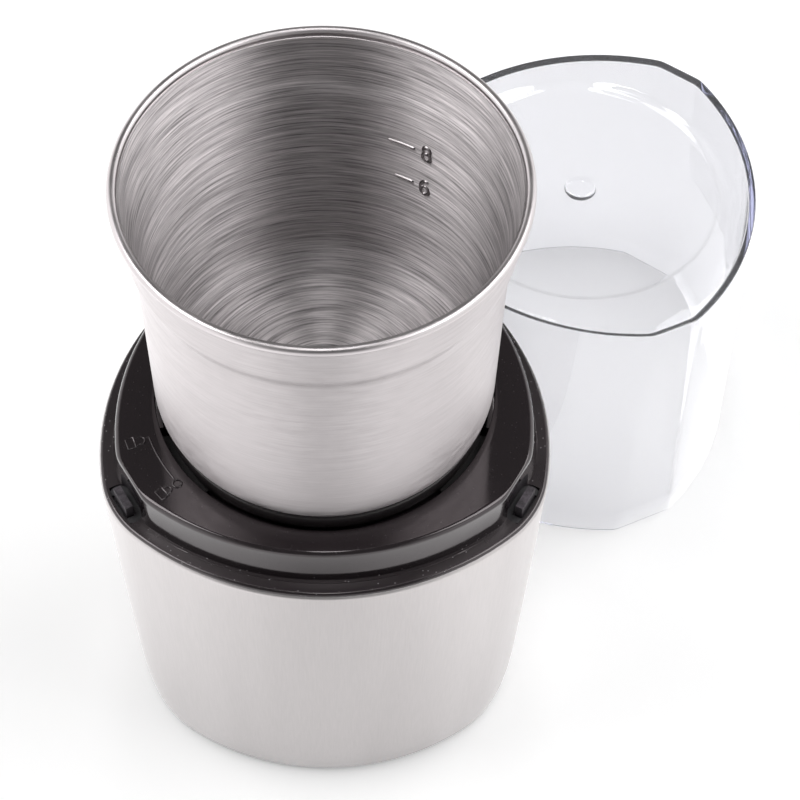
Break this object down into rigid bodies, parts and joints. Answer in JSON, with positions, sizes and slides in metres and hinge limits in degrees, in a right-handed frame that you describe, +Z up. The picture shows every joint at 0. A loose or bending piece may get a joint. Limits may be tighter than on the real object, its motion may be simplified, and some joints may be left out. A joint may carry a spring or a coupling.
{
  "type": "electric food chopper",
  "caption": "Small electric chopper: three-sided steel base with motor and black deck, lift-out round steel cup with a blade, and a clear lid that works the corner switches.",
  "frame": {"origin": "on the motor axis, at the table, under the middle of the foot ring", "axes": "+Z up along the motor axis; +X to the right and +Y to the back, with one flat side of the base facing the front (-Y)"},
  "size_m": [0.1817, 0.1966, 0.199],
  "materials": {
    "sleeve_steel": "satin brushed stainless steel",
    "cup_steel": "finely brushed stainless steel, polished rim",
    "blade_steel": "polished stainless steel",
    "deck_black": "glossy black ABS",
    "foot_black": "satin black ABS",
    "frame_plastic": "matte dark polypropylene",
    "boot_rubber": "matte dark purple-grey rubber",
    "black_rubber": "matte black rubber",
    "screw_zinc": "zinc-plated steel",
    "spring_steel": "bright spring steel",
    "nylon": "natural nylon",
    "core_iron": "laminated electrical steel",
    "winding_copper": "enamelled copper wire and bare copper bars",
    "wire_sleeve": "red PVC insulation",
    "bracket_aluminium": "die-cast aluminium",
    "bronze": "sintered bronze and plain brass",
    "carbon": "carbon graphite",
    "shaft_steel": "ground steel",
    "clear_plastic": "clear styrene acrylonitrile"
  },
  "bodies": {
    "base": {"steel_sleeve": "sleeve_steel", "deck": "deck_black", "motor_frame": "frame_plastic", "frame_screws": "screw_zinc", "bottom_cover": "frame_plastic", "foot_ring": "black_rubber", "cover_screws": "screw_zinc", "cord_gland": "black_rubber", "terminal_block": "nylon", "thermal_fuse": "screw_zinc", "lead_wires": "wire_sleeve", "boot_left": "black_rubber", "boot_right": "black_rubber", "microswitch_left": "frame_plastic", "microswitch_right": "frame_plastic", "stator_core": "core_iron", "field_coils": "winding_copper", "upper_bracket": "bracket_aluminium", "lower_bracket": "bracket_aluminium", "upper_bearing": "bronze", "lower_bearing": "bronze", "brush_holders": "bronze", "carbon_brushes": "carbon", "brush_springs": "spring_steel", "motor_screws": "screw_zinc", "motor_mounts": "black_rubber", "mount_screws": "screw_zinc", "shaft_seal_ring": "black_rubber"},
    "rotor": {"motor_shaft": "shaft_steel", "armature_core": "core_iron", "armature_winding": "winding_copper", "commutator": "winding_copper", "cooling_fan": "nylon", "drive_coupling": "nylon", "spacer_washers": "nylon"},
    "cup_seat": {"seat_ring": "black_rubber"},
    "cup": {"cup_shell": "cup_steel", "cup_base": "foot_black", "cup_base_screws": "screw_zinc", "shaft_bush": "bronze", "cup_seal": "black_rubber"},
    "blade_unit": {"blade": "blade_steel", "blade_nut": "blade_steel", "blade_washers": "blade_steel", "blade_shaft": "blade_steel", "cup_coupling": "nylon"},
    "actuator_left": {"actuator_left": "boot_rubber", "return_spring_left": "spring_steel"},
    "actuator_right": {"actuator_right": "boot_rubber", "return_spring_right": "spring_steel"},
    "lever_left": {"switch_lever_left": "spring_steel"},
    "lever_right": {"switch_lever_right": "spring_steel"},
    "lid": {"lid": "clear_plastic"}
  },
  "joints": [
    {"name": "motor_spin", "type": "hinge", "parent": "base", "child": "rotor", "pos_m": [0, 0, 0], "axis": [0, 0, 1], "continuous": true},
    {"name": "cup_turn", "type": "hinge", "parent": "base", "child": "cup_seat", "pos_m": [0, 0, 0], "axis": [0, 0, 1], "range_deg": [0, 20]},
    {"name": "cup_lift", "type": "slide", "parent": "cup_seat", "child": "cup", "axis": [0, 0, 1], "range_m": [0, 0.095]},
    {"name": "blade_spin", "type": "hinge", "parent": "cup", "child": "blade_unit", "pos_m": [0, 0, 0], "axis": [0, 0, 1], "continuous": true},
    {"name": "lid_lift", "type": "slide", "parent": "base", "child": "lid", "axis": [0, 0, 1], "range_m": [0, 0.12]},
    {"name": "actuator_left_press", "type": "slide", "parent": "base", "child": "actuator_left", "axis": [0, 0, -1], "range_m": [0, 0.003], "stiffness_N_per_m": 500, "springref_m": -0.004, "deforming": ["return_spring_left"]},
    {"name": "lever_left_turn", "type": "hinge", "parent": "base", "child": "lever_left", "pos_m": [-0.03958, -0.02285, 0.0836], "axis": [0.5, -0.866, 0], "range_deg": [0, 16]},
    {"name": "actuator_right_press", "type": "slide", "parent": "base", "child": "actuator_right", "axis": [0, 0, -1], "range_m": [0, 0.003], "stiffness_N_per_m": 500, "springref_m": -0.004, "deforming": ["return_spring_right"]},
    {"name": "lever_right_turn", "type": "hinge", "parent": "base", "child": "lever_right", "pos_m": [0.03958, -0.02285, 0.0836], "axis": [0.5, 0.866, 0], "range_deg": [0, 16]}
  ],
  "couplings": [
    {"joint": "blade_spin", "follows": "motor_spin", "ratio": 1},
    {"joint": "lever_left_turn", "follows": "actuator_left_press", "rad_per_m": 90},
    {"joint": "lever_right_turn", "follows": "actuator_right_press", "rad_per_m": 90}
  ]
}
